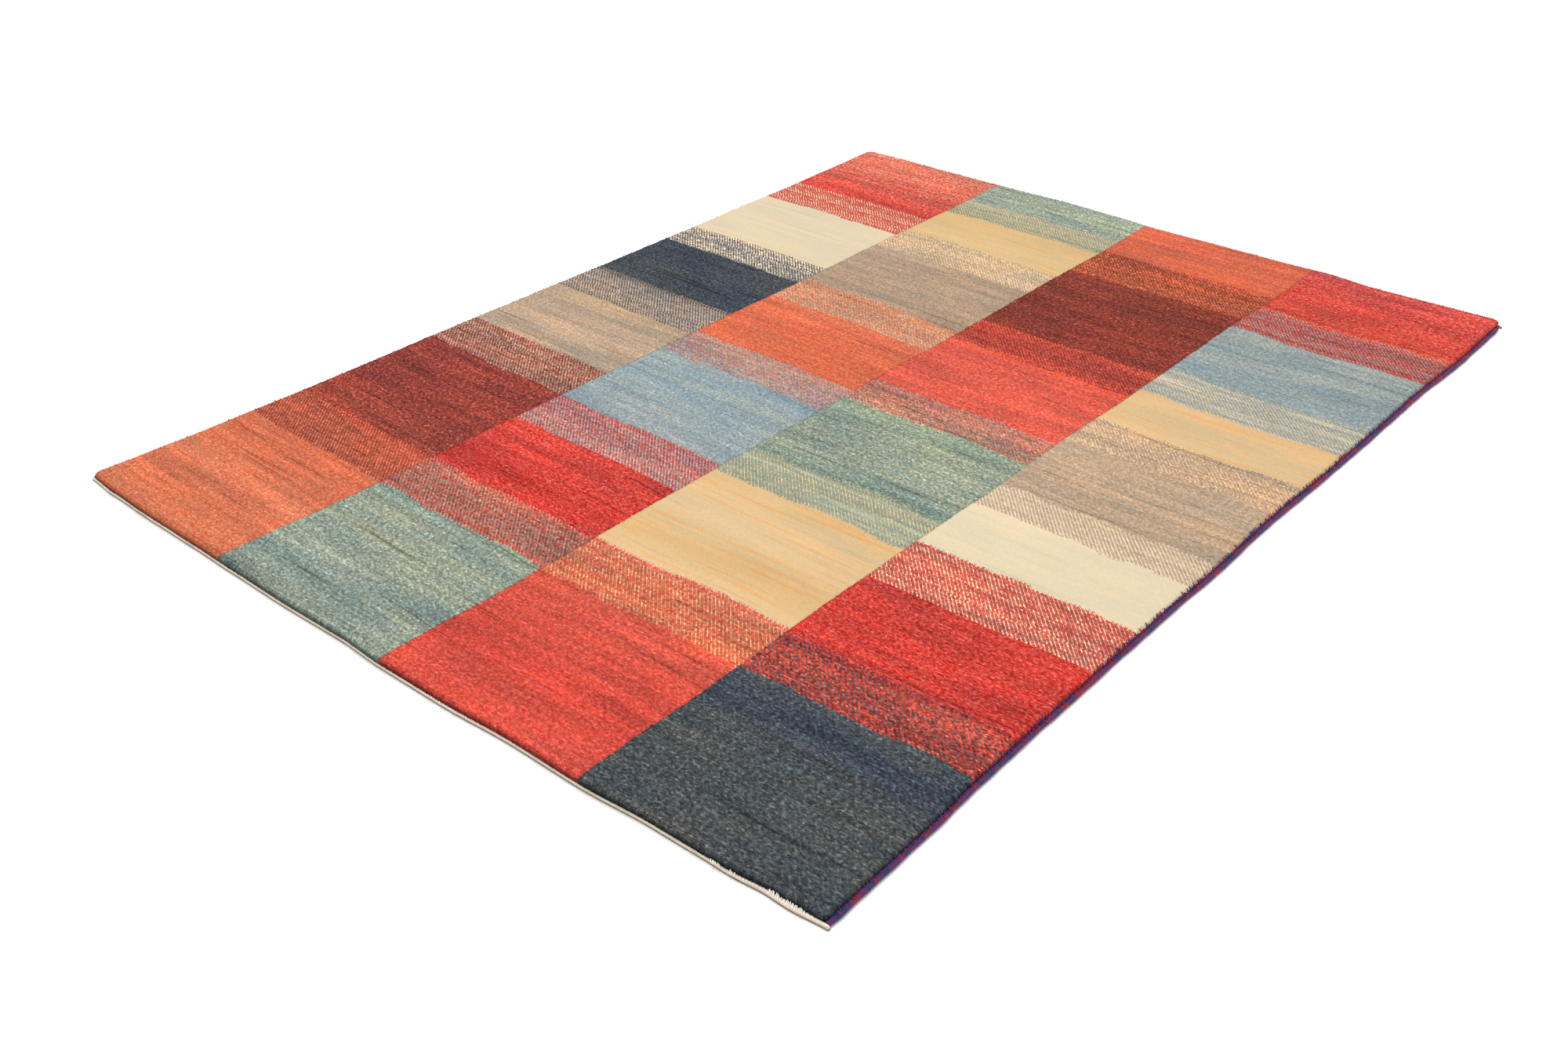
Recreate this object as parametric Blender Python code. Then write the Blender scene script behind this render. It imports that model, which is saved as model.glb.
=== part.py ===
"""Hand-knotted Lori wool rug, about 1.18 m by 1.58 m, lying flat.

The rug is made in five pieces: the knotted field, a cord of overcast yarn
along each long side, and a cotton web turned under each short end.
X runs across the rug, Y along it from the near end to the far end, +Z up.
The origin is the middle of the rug's box, on the surface that it lies on.
"""

import math

import bmesh
import bpy
import numpy as np

MM = 0.001

# Driving sizes, in metres
WIDTH = 1.184
LENGTH = 1.588
THICKNESS = 0.0125
CORD_DIAMETER = 0.0070
CORD_LIFT = 0.0001
WEB_STANDS_OUT = 0.0020
WEB_HEIGHT = 0.0056
HEM_DEPTH = 0.0200
HEM_THICKNESS = 0.0017
GAP = 0.0003
CORNER_RADIUS = 0.0050

# Steps along a long side, along a short end, round a corner and round a cord
SIDE_STEPS = 60
END_STEPS = 44
CORNER_STEPS = 5
CORD_SIDES = 10

# Half sizes of the knotted cloth between the cords and between the webs
HALF_WIDTH = WIDTH / 2 - CORD_DIAMETER
HALF_LENGTH = LENGTH / 2 - WEB_STANDS_OUT

# Places along the edges that neighbouring pieces share, clear of the corners
CORNER_ROOM = 0.010
SIDE_STATIONS = np.linspace(-1.0, 1.0, SIDE_STEPS + 1) * (HALF_LENGTH - CORNER_ROOM)
END_STATIONS = np.linspace(-1.0, 1.0, END_STEPS + 1) * (HALF_WIDTH - CORNER_ROOM)

# How far each edge lies inside the rug's box: share along the edge, inset in mm
LEFT_INSET = (
    (0.00, 0.0), (0.05, 4.0), (0.10, 7.6), (0.22, 10.6), (0.35, 9.8), (0.45, 11.4),
    (0.58, 13.4), (0.70, 13.8), (0.76, 11.8), (0.83, 13.0), (0.92, 10.6), (1.00, 7.0),
)
RIGHT_INSET = (
    (0.00, 3.2), (0.05, 4.6), (0.10, 5.4), (0.15, 8.6), (0.22, 9.8), (0.38, 10.6),
    (0.45, 8.8), (0.53, 10.8), (0.64, 7.0), (0.72, 5.6), (0.80, 5.8), (0.91, 0.0),
    (1.00, 0.8),
)
NEAR_INSET = (
    (0.00, 16.0), (0.05, 11.3), (0.13, 8.0), (0.20, 7.0), (0.27, 5.0), (0.36, 3.0),
    (0.44, 3.6), (0.50, 0.2), (0.58, 0.2), (0.67, 4.0), (0.75, 2.8), (0.83, 7.4),
    (0.90, 8.0), (0.95, 12.4), (1.00, 13.0),
)
FAR_INSET = (
    (0.00, 7.4), (0.07, 3.8), (0.17, 5.0), (0.28, 3.6), (0.36, 0.0), (0.45, 3.8),
    (0.52, 9.4), (0.62, 7.8), (0.70, 8.0), (0.77, 4.6), (0.83, 11.6), (1.00, 7.4),
)

# Where the cloth's rim passes a cord: angle round the cord from its outer
# side, and how far the short ends stand out at that height, in mm
PAST_CORD = ((180.0, 0.0), (157.5, 0.0), (135.0, 0.1), (115.0, 0.8))

# How the pile rounds over above that, in mm. Columns: out past the half
# width, out past the half length, below the flat of the pile, and how much
# wider the corners turn there
PILE_SHOULDER = (
    (2.30, 1.40, 4.30, 1.2),
    (1.70, 1.00, 2.50, 1.8),
    (0.20, -0.40, 1.10, 2.4),
    (-2.20, -2.60, 0.30, 3.0),
    (-5.00, -5.40, 0.00, 3.0),
)

# How far each web stands out past its usual place: share of the width, mm
NEAR_WEB_BULGE = (
    (0.00, 0.0), (0.12, -0.4), (0.30, 0.2), (0.45, -0.3), (0.62, 0.3),
    (0.78, 0.1), (0.88, 0.8), (0.93, 2.6), (0.965, 3.6), (1.00, 1.0),
)
FAR_WEB_BULGE = (
    (0.00, 0.0), (0.20, 0.3), (0.40, -0.3), (0.60, 0.2), (0.80, -0.4), (1.00, 0.0),
)


def ease(table, share):
    """Read a table at each share, easing between its rows with 3t^2 - 2t^3."""
    rows = np.array(table)
    step = np.clip(np.searchsorted(rows[:, 0], share, side="right") - 1, 0, len(rows) - 2)
    low, high = rows[step], rows[step + 1]
    t = np.clip((share - low[..., 0]) / (high[..., 0] - low[..., 0]), 0.0, 1.0)
    return low[..., 1] + (high[..., 1] - low[..., 1]) * t * t * (3.0 - 2.0 * t)


def wander(points):
    """Carry points of a straight rug to the uneven one that came off the loom.

    Each edge moves inwards by its inset, and a point between two edges moves
    by the mean of both, weighted by how near it lies to each.
    """
    points = np.array(points, dtype=float)
    across = np.clip(points[..., 0] / WIDTH + 0.5, 0.0, 1.0)
    along = np.clip(points[..., 1] / LENGTH + 0.5, 0.0, 1.0)
    left = ease(LEFT_INSET, along) * MM
    right = -ease(RIGHT_INSET, along) * MM
    near = ease(NEAR_INSET, across) * MM
    far = -ease(FAR_INSET, across) * MM
    points[..., 0] += left + (right - left) * across
    points[..., 1] += near + (far - near) * along
    return points


def new_object(name, bm, colour, roughness):
    """Turn a bmesh into a named object with its own material."""
    bmesh.ops.recalc_face_normals(bm, faces=bm.faces)
    mesh = bpy.data.meshes.new(name)
    bm.to_mesh(mesh)
    bm.free()
    mesh.shade_smooth()
    mesh.set_sharp_from_angle(angle=math.radians(35))
    material = bpy.data.materials.new(name)
    material.use_nodes = True
    shader = material.node_tree.nodes["Principled BSDF"]
    shader.inputs["Base Color"].default_value = (*colour, 1.0)
    shader.inputs["Roughness"].default_value = roughness
    shader.inputs["Metallic"].default_value = 0.0
    mesh.materials.append(material)
    obj = bpy.data.objects.new(name, mesh)
    bpy.context.scene.collection.objects.link(obj)
    return obj


def skin(loops):
    """Bridge closed loops of points, an array (loop, point, xyz), into one body."""
    bm = bmesh.new()
    rings = [[bm.verts.new(point) for point in loop] for loop in loops]
    count = len(rings[0])
    for lower, upper in zip(rings, rings[1:]):
        for i in range(count):
            j = (i + 1) % count
            bm.faces.new((lower[i], lower[j], upper[j], upper[i]))
    bm.faces.new(rings[0][::-1])
    bm.faces.new(rings[-1])
    return bm


def rim_rows():
    """The rim's levels, as rows of (side out, end out, height, corner radius).

    It rises straight from the underside, follows the cord round at GAP from
    it, and rounds over into the flat of the pile.
    """
    cord = CORD_DIAMETER / 2
    rows = [(-GAP, 0.0, 0.0, CORNER_RADIUS)]
    for degrees, end_out in PAST_CORD:
        angle = math.radians(degrees)
        side_out = cord + (cord + GAP) * math.cos(angle)
        height = CORD_LIFT + cord + (cord + GAP) * math.sin(angle)
        rows.append((side_out, end_out * MM, height, CORNER_RADIUS))
    for side_out, end_out, drop, wider in PILE_SHOULDER:
        height = THICKNESS - drop * MM
        rows.append((side_out * MM, end_out * MM, height, CORNER_RADIUS + wider * MM))
    return rows


def rim_loop(side_out, end_out, height, radius):
    """One level of the rim, as (point, xyz): a rectangle with round corners."""
    half_x = HALF_WIDTH + side_out
    half_y = HALF_LENGTH + end_out
    turn = np.linspace(0.0, math.pi / 2, CORNER_STEPS + 1)
    runs = []
    for quarter, (sign_x, sign_y) in enumerate(((1, 1), (-1, 1), (-1, -1), (1, -1))):
        angle = quarter * math.pi / 2 + turn
        x = sign_x * (half_x - radius) + radius * np.cos(angle)
        y = sign_y * (half_y - radius) + radius * np.sin(angle)
        runs.append(np.stack((x, y), axis=1))
        if quarter % 2 == 0:
            run = -sign_x * END_STATIONS
            runs.append(np.stack((run, np.full_like(run, sign_y * half_y)), axis=1))
        else:
            run = -sign_y * SIDE_STATIONS
            runs.append(np.stack((np.full_like(run, sign_x * half_x), run), axis=1))
    outline = np.concatenate(runs)
    return np.column_stack((outline, np.full(len(outline), height)))


def end_strip(x, sign, reach, height):
    """A section of (reach past the cloth's end, height), carried along stations x."""
    y = sign * (HALF_LENGTH + reach)
    loops = np.stack(np.broadcast_arrays(x[:, None], y, height), axis=-1)
    return skin(wander(loops))


def hem_cutter(name, sign):
    """A strip that clears the underside of one end for the turned-under web."""
    beyond = 0.030
    below = -0.010
    top = HEM_THICKNESS + GAP
    x = np.concatenate(([-WIDTH / 2], END_STATIONS, [WIDTH / 2]))
    inner = -HEM_DEPTH - GAP
    reach = np.array([[inner, beyond, beyond, inner]])
    height = np.array([[below, below, top, top]])
    bm = end_strip(x, sign, reach, height)
    bmesh.ops.recalc_face_normals(bm, faces=bm.faces)
    mesh = bpy.data.meshes.new(name)
    bm.to_mesh(mesh)
    bm.free()
    obj = bpy.data.objects.new(name, mesh)
    obj.hide_render = True
    obj.display_type = "WIRE"
    bpy.context.scene.collection.objects.link(obj)
    return obj


def make_field():
    """The knotted wool cloth, with rounded pile at its rim and room for both hems."""
    loops = wander([rim_loop(*row) for row in rim_rows()])
    field = new_object("field", skin(loops), (0.42, 0.12, 0.08), 0.95)
    for name, sign in (("near_hem_room", -1), ("far_hem_room", 1)):
        cut = field.modifiers.new(name, "BOOLEAN")
        cut.operation = "DIFFERENCE"
        cut.solver = "EXACT"
        cut.object = hem_cutter(name, sign)


def make_cord(name, sign):
    """The overcast cord of one long side: a round section, a little uneven.

    Its inner side keeps to the cloth, and its radius shrinks by up to 0.35 mm
    in slow waves, and by 0.6 mm over the first and last wraps.
    """
    full = CORD_DIAMETER / 2
    tip = HALF_LENGTH - GAP * 2
    extra = np.array([tip - 0.0050, tip - 0.0015, tip])
    y = np.concatenate((-extra[::-1], SIDE_STATIONS, extra))
    waves = np.sin(y * 61.0 + sign) * np.sin(y * 23.0 + 2.0 * sign)
    from_tip = np.clip((tip - np.abs(y)) / 0.015, 0.0, 1.0)
    radius = full - 0.35 * MM * np.clip(waves, 0.0, 1.0) - 0.6 * MM * (1.0 - from_tip)
    angle = np.arange(CORD_SIDES) * 2 * math.pi / CORD_SIDES
    x = sign * (HALF_WIDTH + radius[:, None] * (1.0 + np.cos(angle)))
    z = CORD_LIFT + radius[:, None] * (1.0 + np.sin(angle))
    loops = np.stack(np.broadcast_arrays(x, y[:, None], z), axis=-1)
    new_object(name, skin(wander(loops)), (0.16, 0.07, 0.16), 0.9)


def make_web(name, sign, bulge_table):
    """The cotton web of one short end, a section of (reach, height) along the end.

    It stands out below the pile, turns under and runs back below the cloth.
    Between the cords the turned part has its full depth, and outside them it
    is cut short, so that the cords pass it. Its two ends are drawn in.
    """
    inside = HALF_WIDTH - np.array([0.0060, 0.0030, 0.0012])
    outside = HALF_WIDTH + np.array([-0.0006, 0.0030, 0.0058, CORD_DIAMETER])
    past = np.concatenate((inside, outside))
    x = np.concatenate((-past[::-1], END_STATIONS, past))
    under = np.where(np.abs(x) > inside[-1] + MM / 10, GAP, HEM_DEPTH)
    drawn_in = np.where(np.abs(x) > outside[-2], 0.7, 1.0)
    out = WEB_STANDS_OUT * drawn_in + ease(bulge_table, x / WIDTH + 0.5) * MM
    top = WEB_HEIGHT * drawn_in
    zero = np.zeros_like(x)
    face = zero + GAP
    edge = 0.3 * (out - face)
    hem = zero + HEM_THICKNESS
    section = (
        (-under, zero),
        (out - 0.0010, zero),
        (out - 0.0003, zero + 0.0005),
        (out, zero + 0.0015),
        (out, top - 0.0012),
        (out - edge / 2, top - 0.0004),
        (out - edge, top),
        (face + edge, top),
        (face, top - 0.0004),
        (face, hem + GAP),
        (face - GAP, hem),
        (-under, hem),
    )
    reach = np.stack([corner[0] for corner in section], axis=1)
    height = np.stack([corner[1] for corner in section], axis=1)
    new_object(name, end_strip(x, sign, reach, height), (0.72, 0.62, 0.47), 0.9)


def main():
    for obj in list(bpy.data.objects):
        bpy.data.objects.remove(obj, do_unlink=True)
    make_field()
    make_cord("selvedge_left", -1)
    make_cord("selvedge_right", 1)
    make_web("web_near", -1, NEAR_WEB_BULGE)
    make_web("web_far", 1, FAR_WEB_BULGE)


main()
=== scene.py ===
"""Looks of the hand-knotted Lori wool rug, laid out as a Blender add-on and run as a script.

The rug is first worked out straight, as on the loom, and every point is then carried to
its uneven place by wander(). X runs across the rug, Y along it from the near end to the
far end and +Z up. A place in the pattern is given in knots across and rows along, from
the near left corner.
"""

import math

import bpy
import numpy as np
from mathutils import Matrix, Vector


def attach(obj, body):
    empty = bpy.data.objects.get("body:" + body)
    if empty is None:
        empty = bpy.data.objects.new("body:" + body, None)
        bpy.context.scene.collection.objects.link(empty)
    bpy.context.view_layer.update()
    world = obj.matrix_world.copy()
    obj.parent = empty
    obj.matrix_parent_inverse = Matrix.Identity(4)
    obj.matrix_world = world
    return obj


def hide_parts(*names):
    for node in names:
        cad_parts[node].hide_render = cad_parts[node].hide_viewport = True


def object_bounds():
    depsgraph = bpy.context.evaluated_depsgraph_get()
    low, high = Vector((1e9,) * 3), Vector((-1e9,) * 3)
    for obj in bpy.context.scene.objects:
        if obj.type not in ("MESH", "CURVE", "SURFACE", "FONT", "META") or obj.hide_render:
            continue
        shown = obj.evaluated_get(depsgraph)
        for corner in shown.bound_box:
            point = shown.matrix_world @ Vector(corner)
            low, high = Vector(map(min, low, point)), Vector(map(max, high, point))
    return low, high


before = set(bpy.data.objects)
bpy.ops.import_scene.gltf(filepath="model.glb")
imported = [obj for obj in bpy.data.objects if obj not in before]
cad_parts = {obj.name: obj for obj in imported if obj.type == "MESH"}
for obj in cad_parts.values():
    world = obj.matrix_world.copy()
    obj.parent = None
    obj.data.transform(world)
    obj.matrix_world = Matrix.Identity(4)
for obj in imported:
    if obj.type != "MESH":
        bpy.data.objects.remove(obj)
cad_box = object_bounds()

bl_info = {
    "name": "Lori rug",
    "version": (1, 0, 0),
    "blender": (4, 5, 0),
    "location": "View3D > Sidebar > Rug",
    "description": "Knotted pile, overcast cords and cotton webs of a wool rug",
    "category": "Add Mesh",
}

MM = 0.001
BODY = "root"

# The straight rug's sizes, as its solids have them, in metres
WIDTH = 1.184
LENGTH = 1.588
CORD_DIAMETER = 0.0070
CORD_LIFT = 0.0001
WEB_STANDS_OUT = 0.0020
WEB_HEIGHT = 0.0056
HEM_DEPTH = 0.0200
HEM_THICKNESS = 0.0017
GAP = 0.0003
CORNER_RADIUS = 0.0050
HALF_WIDTH = WIDTH / 2 - CORD_DIAMETER
HALF_LENGTH = LENGTH / 2 - WEB_STANDS_OUT
CORNER_ROOM = 0.016
PILE_TOP = cad_box[1].z

# Yarns side by side round a cord, so that a turn climbs as many pitches
YARN_STARTS = 3.0

# In mm: how deep a cord's slow waves are, how much thinner it gets at both tips and over
# what length, the same again at its far tip, and how far its turns stand proud
CORD_WAVE = 0.35
TIP_TAPER = (0.6, 15.0)
FAR_TAPER = (1.0, 22.0)
TURN_PROUD = 0.12

# How far each edge lies inside the rug's box: share along the edge, inset in mm
LEFT_INSET = (
    (0.00, 0.0), (0.05, 4.0), (0.10, 7.6), (0.22, 10.6), (0.35, 9.8), (0.45, 11.4),
    (0.58, 13.4), (0.70, 13.8), (0.76, 11.8), (0.83, 13.0), (0.92, 10.6), (1.00, 7.0),
)
RIGHT_INSET = (
    (0.00, 3.2), (0.05, 4.6), (0.10, 5.4), (0.15, 8.6), (0.22, 9.8), (0.38, 10.6),
    (0.45, 8.8), (0.53, 10.8), (0.64, 7.0), (0.72, 5.6), (0.80, 5.8), (0.91, 0.0),
    (1.00, 0.8),
)
NEAR_INSET = (
    (0.00, 16.0), (0.05, 11.3), (0.13, 8.0), (0.20, 7.0), (0.27, 5.0), (0.36, 3.0),
    (0.44, 3.6), (0.50, 0.2), (0.58, 0.2), (0.67, 4.0), (0.75, 2.8), (0.83, 7.4),
    (0.90, 8.0), (0.95, 12.4), (1.00, 13.0),
)
FAR_INSET = (
    (0.00, 7.4), (0.07, 3.8), (0.17, 5.0), (0.28, 3.6), (0.36, 0.0), (0.45, 3.8),
    (0.52, 9.4), (0.62, 7.8), (0.70, 8.0), (0.77, 4.6), (0.83, 11.6), (1.00, 7.4),
)

# Where the rim passes a cord: angle round the cord, and how far the ends stand out, mm
PAST_CORD = ((157.5, 0.0), (135.0, 0.1), (115.0, 0.8))

# The pile's round shoulder, in mm: out past the half width, out past the half length,
# below the flat of the pile, and how much wider the corners turn there
PILE_SHOULDER = (
    (2.30, 1.40, 4.30, 1.2), (2.25, 1.40, 3.20, 1.5), (2.00, 1.10, 2.10, 1.8),
    (1.50, 0.60, 1.30, 2.1), (0.70, -0.20, 0.75, 2.4), (-0.40, -1.30, 0.40, 2.7),
    (-2.20, -2.60, 0.18, 3.0), (-5.00, -5.40, 0.00, 3.0),
)

# How far each web stands out past its usual place: share of the width, mm
NEAR_WEB_BULGE = (
    (0.00, 0.0), (0.12, -0.4), (0.30, 0.2), (0.45, -0.3), (0.62, 0.3),
    (0.78, 0.1), (0.88, 0.4), (0.93, 1.8), (0.965, 3.6), (1.00, 1.0),
)
FAR_WEB_BULGE = (
    (0.00, 0.0), (0.20, 0.3), (0.40, -0.3), (0.60, 0.2), (0.80, -0.4), (1.00, 0.0),
)

# How high each web's outer side stands: share of the width, share of its whole height
NEAR_WEB_TOP = (
    (0.00, 0.92), (0.05, 0.96), (0.09, 0.86), (0.13, 0.95), (0.20, 0.87), (0.35, 0.84),
    (0.50, 0.88), (0.58, 0.95), (0.66, 0.86), (0.78, 0.85), (0.90, 0.87), (0.93, 0.92),
    (0.96, 1.00), (0.985, 1.00), (1.00, 0.90),
)
FAR_WEB_TOP = ((0.00, 0.80), (0.40, 0.90), (0.70, 0.80), (1.00, 0.85))

# The knotted ground in knots across and rows along, and the half sizes that it covers
KNOTS = 412
ROWS = 508
CHART_HALF_X = HALF_WIDTH + 0.0015
CHART_HALF_Y = HALF_LENGTH + 0.0010

# The weaver's chart, one tuple for each of four columns: dye, first row, last row, and the
# next dye's share of the knots in the band that follows, where knots of both alternate
CHART = (
    (
        ("orange", 0, 72, 0.72), ("maroon", 98, 170, 0.42), ("taupe", 197, 251, 0.40),
        ("navy", 278, 328, 0.50), ("cream", 351, 410, 0.78), ("madder", 438, 508, 0.5),
    ),
    (
        ("sage", 0, 73, 0.60), ("madder", 99, 143, 0.42), ("blue", 170, 232, 0.38),
        ("orange", 255, 309, 0.52), ("taupe", 335, 392, 0.60), ("straw", 417, 455, 0.76),
        ("sage", 477, 508, 0.5),
    ),
    (
        ("coral", 0, 73, 0.18), ("straw", 100, 165, 0.82), ("sage", 189, 249, 0.44),
        ("coral", 271, 327, 0.50), ("maroon", 352, 430, 0.52), ("orange", 462, 508, 0.5),
    ),
    (
        ("navy", 0, 74, 0.56), ("madder", 99, 144, 0.25), ("cream", 173, 209, 0.52),
        ("taupe", 229, 276, 0.26), ("straw", 301, 334, 0.70), ("blue", 360, 420, 0.66),
        ("madder", 448, 508, 0.5),
    ),
)
COLUMN_BORDERS = (101.0, 206.0, 310.0)

# Tones of the wool lots along each column, with a painted sheen that lightens the far reds:
# row, and what multiplies red, green and blue
LOT_TONES_AND_SHEEN = (
    (
        (0, (1.00, 1.15, 1.10)), (30, (1.00, 1.10, 1.05)), (38, (1.04, 1.30, 1.30)),
        (46, (1.00, 1.10, 1.05)), (72, (0.95, 0.95, 0.90)), (75, (1.02, 1.30, 1.20)),
        (95, (1.22, 1.42, 1.32)), (98, (1.15, 1.15, 1.06)), (118, (1.10, 1.10, 1.06)),
        (124, (0.96, 0.92, 0.97)), (170, (1.01, 0.96, 1.01)), (173, (1.03, 1.08, 1.12)),
        (194, (1.00, 1.06, 1.04)), (197, (0.95, 0.95, 0.97)), (224, (1.03, 1.03, 1.05)),
        (251, (1.01, 0.98, 0.92)), (254, (1.17, 1.22, 1.27)), (275, (1.17, 1.22, 1.30)),
        (278, (0.80, 0.82, 0.88)), (328, (0.78, 0.82, 0.90)), (348, (0.90, 0.92, 1.08)),
        (351, (0.94, 0.94, 0.95)), (410, (0.93, 0.93, 0.96)), (413, (1.00, 1.12, 1.10)),
        (435, (1.00, 1.12, 1.10)), (438, (1.02, 1.10, 1.10)), (455, (1.05, 1.70, 1.60)),
        (480, (1.15, 2.80, 2.40)), (508, (1.20, 3.60, 3.00)),
    ),
    (
        (0, (0.90, 0.92, 1.00)), (30, (0.95, 0.97, 1.05)), (45, (1.10, 1.05, 1.05)),
        (70, (1.02, 1.02, 1.05)), (76, (0.80, 1.03, 0.97)), (96, (0.80, 1.02, 0.93)),
        (99, (1.05, 1.00, 1.00)), (109, (0.95, 0.90, 0.90)), (112, (0.85, 0.80, 0.80)),
        (115, (1.00, 1.00, 1.00)), (143, (1.05, 1.15, 1.10)), (146, (0.99, 1.34, 1.22)),
        (167, (0.92, 1.20, 1.14)), (170, (0.94, 0.95, 1.00)), (200, (1.03, 1.06, 1.07)),
        (234, (0.89, 0.96, 1.01)), (255, (1.04, 0.95, 0.86)), (280, (0.94, 0.84, 0.80)),
        (300, (1.02, 0.94, 0.92)), (309, (1.04, 1.08, 1.05)), (332, (1.00, 1.02, 0.91)),
        (335, (0.88, 0.85, 0.83)), (374, (0.95, 0.93, 0.93)), (378, (0.80, 0.78, 0.79)),
        (384, (0.91, 0.89, 0.89)), (392, (0.92, 0.90, 0.90)), (395, (0.99, 1.01, 1.11)),
        (414, (0.99, 1.02, 1.13)), (417, (0.96, 1.00, 1.02)), (455, (0.92, 0.90, 0.82)),
        (477, (1.12, 1.09, 1.09)), (508, (1.22, 1.16, 1.14)),
    ),
    (
        (0, (0.94, 0.80, 0.85)), (30, (0.90, 0.66, 0.72)), (73, (0.93, 0.94, 0.90)),
        (76, (0.91, 0.98, 0.84)), (97, (0.92, 1.00, 0.90)), (100, (1.05, 1.10, 1.18)),
        (118, (1.00, 0.92, 0.80)), (127, (1.00, 1.00, 1.02)), (140, (1.05, 1.08, 1.15)),
        (165, (0.98, 0.95, 0.90)), (168, (1.08, 1.08, 1.07)), (186, (1.05, 1.10, 1.10)),
        (189, (0.92, 0.94, 0.93)), (195, (0.86, 0.92, 0.92)), (199, (0.98, 0.99, 1.01)),
        (220, (0.99, 0.98, 1.01)), (249, (1.10, 1.08, 0.99)), (252, (0.81, 1.14, 1.07)),
        (271, (1.00, 1.02, 0.98)), (300, (0.97, 0.98, 1.01)), (327, (0.95, 0.92, 0.90)),
        (330, (0.86, 0.74, 0.75)), (349, (0.86, 0.74, 0.75)), (352, (0.86, 0.81, 0.77)),
        (382, (0.93, 0.88, 0.88)), (386, (0.70, 0.74, 0.72)), (391, (0.82, 0.84, 0.80)),
        (430, (0.84, 0.87, 0.83)), (433, (0.83, 1.03, 0.90)), (459, (0.89, 1.00, 0.87)),
        (462, (0.94, 0.84, 0.80)), (508, (0.98, 0.86, 0.90)),
    ),
    (
        (0, (1.15, 1.10, 1.02)), (40, (1.12, 1.10, 1.00)), (55, (0.85, 0.88, 0.98)),
        (74, (0.95, 1.00, 1.05)), (77, (1.15, 1.50, 1.19)), (96, (1.13, 1.46, 1.16)),
        (99, (1.00, 1.00, 1.00)), (144, (1.02, 1.05, 1.05)), (147, (0.98, 1.02, 1.01)),
        (170, (0.98, 1.02, 1.01)), (173, (1.02, 1.04, 1.05)), (209, (1.04, 1.05, 1.05)),
        (212, (1.11, 1.09, 1.10)), (229, (1.04, 1.03, 1.01)), (276, (1.08, 1.07, 1.06)),
        (279, (1.14, 1.10, 1.12)), (298, (1.10, 1.08, 1.12)), (301, (1.00, 1.02, 1.05)),
        (334, (1.00, 0.96, 0.95)), (337, (0.94, 0.98, 1.00)), (357, (0.95, 1.00, 1.02)),
        (360, (0.90, 0.95, 0.96)), (380, (0.98, 0.98, 0.97)), (400, (0.95, 0.95, 0.91)),
        (420, (1.02, 0.98, 0.93)), (423, (0.88, 1.01, 0.91)), (445, (0.90, 1.05, 0.93)),
        (448, (1.05, 1.45, 1.15)), (475, (1.02, 1.30, 1.25)), (508, (1.04, 1.55, 1.70)),
    ),
)

# White stitches over the near end: first knot, last knot, how many, and length in mm
NEAR_STITCHES = (
    (12, 19, 6, 2.2), (37, 40, 4, 2.6), (50, 53, 3, 2.2), (232, 236, 4, 2.2),
    (241, 243, 2, 2.2), (247, 249, 3, 2.4), (253, 256, 3, 2.2), (368, 372, 6, 4.6),
    (376, 378, 3, 5.2), (379, 389, 9, 2.4), (391, 395, 8, 5.4), (396, 405, 14, 4.4),
)

# How far out past the half length those stitches lie once they are over the edge, m, how
# far below the web's top they start, mm, and how much a stitch leans
STITCH_OUT = 0.0034
STITCH_ROOT = 0.5
STITCH_LEAN = 0.14

# How the overcast yarn bites over the pile: out past the half width, and height, mm
SIDE_ROUTE = (
    (4.9, 6.6), (3.6, 7.9), (2.9, 9.2), (2.6, 10.4), (1.9, 11.5), (0.9, 12.2), (-0.6, 12.6),
)

# How much of that way the yarn's bites go: share along the edge, share of the way
SIDE_REACH = (
    (0.00, 0.28), (0.14, 0.32), (0.20, 0.62), (0.34, 0.90), (0.45, 0.88), (0.70, 0.74),
    (0.90, 0.42), (1.00, 0.28),
)

# The share of the bites that go so far, how much of it the others go, the share of the
# places that hold a bite, and the cord's turns from one place to the next
LONG_BITES = 0.40
SHORT_BITE = 0.56
PLACES_BITTEN = 0.93
BITE_PITCH = 1.35

# Rows of tufts at the ends and at the sides: height and place out past the pile's half
# size, mm, the angle up from level, and a factor on their length
END_TUFTS = (
    (6.5, 1.0, -18.0, 0.9), (8.4, 1.0, -12.0, 1.1), (10.0, 0.6, 28.0, 1.0),
    (11.2, -0.2, 55.0, 1.0),
)
SIDE_TUFTS = ((9.2, 1.8, 15.0, 1.0), (10.8, 0.6, 45.0, 1.0))

# How deep inside its place a tuft is rooted, mm, the first knot or row of a rim that has
# one, and how many at its two ends have none
TUFT_ROOT = 1.2
FIRST_TUFT = 3.0
BARE_KNOTS = 5

# How thick rods are along their length: tufts and stitches as shares, the others in mm
TUFT_SHAPE = (1.0, 0.9, 0.45)
STITCH_SHAPE = (1.0, 1.0, 0.9, 0.8, 0.4)
BITE_RADII = (0.66, 0.70, 0.70, 0.68, 0.64, 0.58, 0.36)
LOOSE_END_RADII = (1.1, 1.2, 1.1, 1.0, 0.8, 0.6, 0.3)
FLECK_RADII = (0.1, 0.35, 0.45, 0.45, 0.35, 0.1)

# A place in the web's pattern where the cotton takes its pale colour and no painted shade
UNSHADED_PLACE = (0.5, 9.5)

# Heights in mm between which painted light turns the web's cotton pale towards its top,
# and between which painted shade fades in towards the floor
PAINTED_LIGHT_ABOVE = (3.4, 5.0)
SHADE_BELOW = (3.2, 2.4)

# The cotton's other colours, in linear red, green and blue: stained, pale for a web's
# painted-light top and for the stitches, and the painted shade low on a web
STAINED_COTTON = (0.64, 0.46, 0.33)
PALE_COTTON = (0.88, 0.83, 0.74)
SHADED_UNDER_COTTON = (0.17, 0.13, 0.08)

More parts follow.
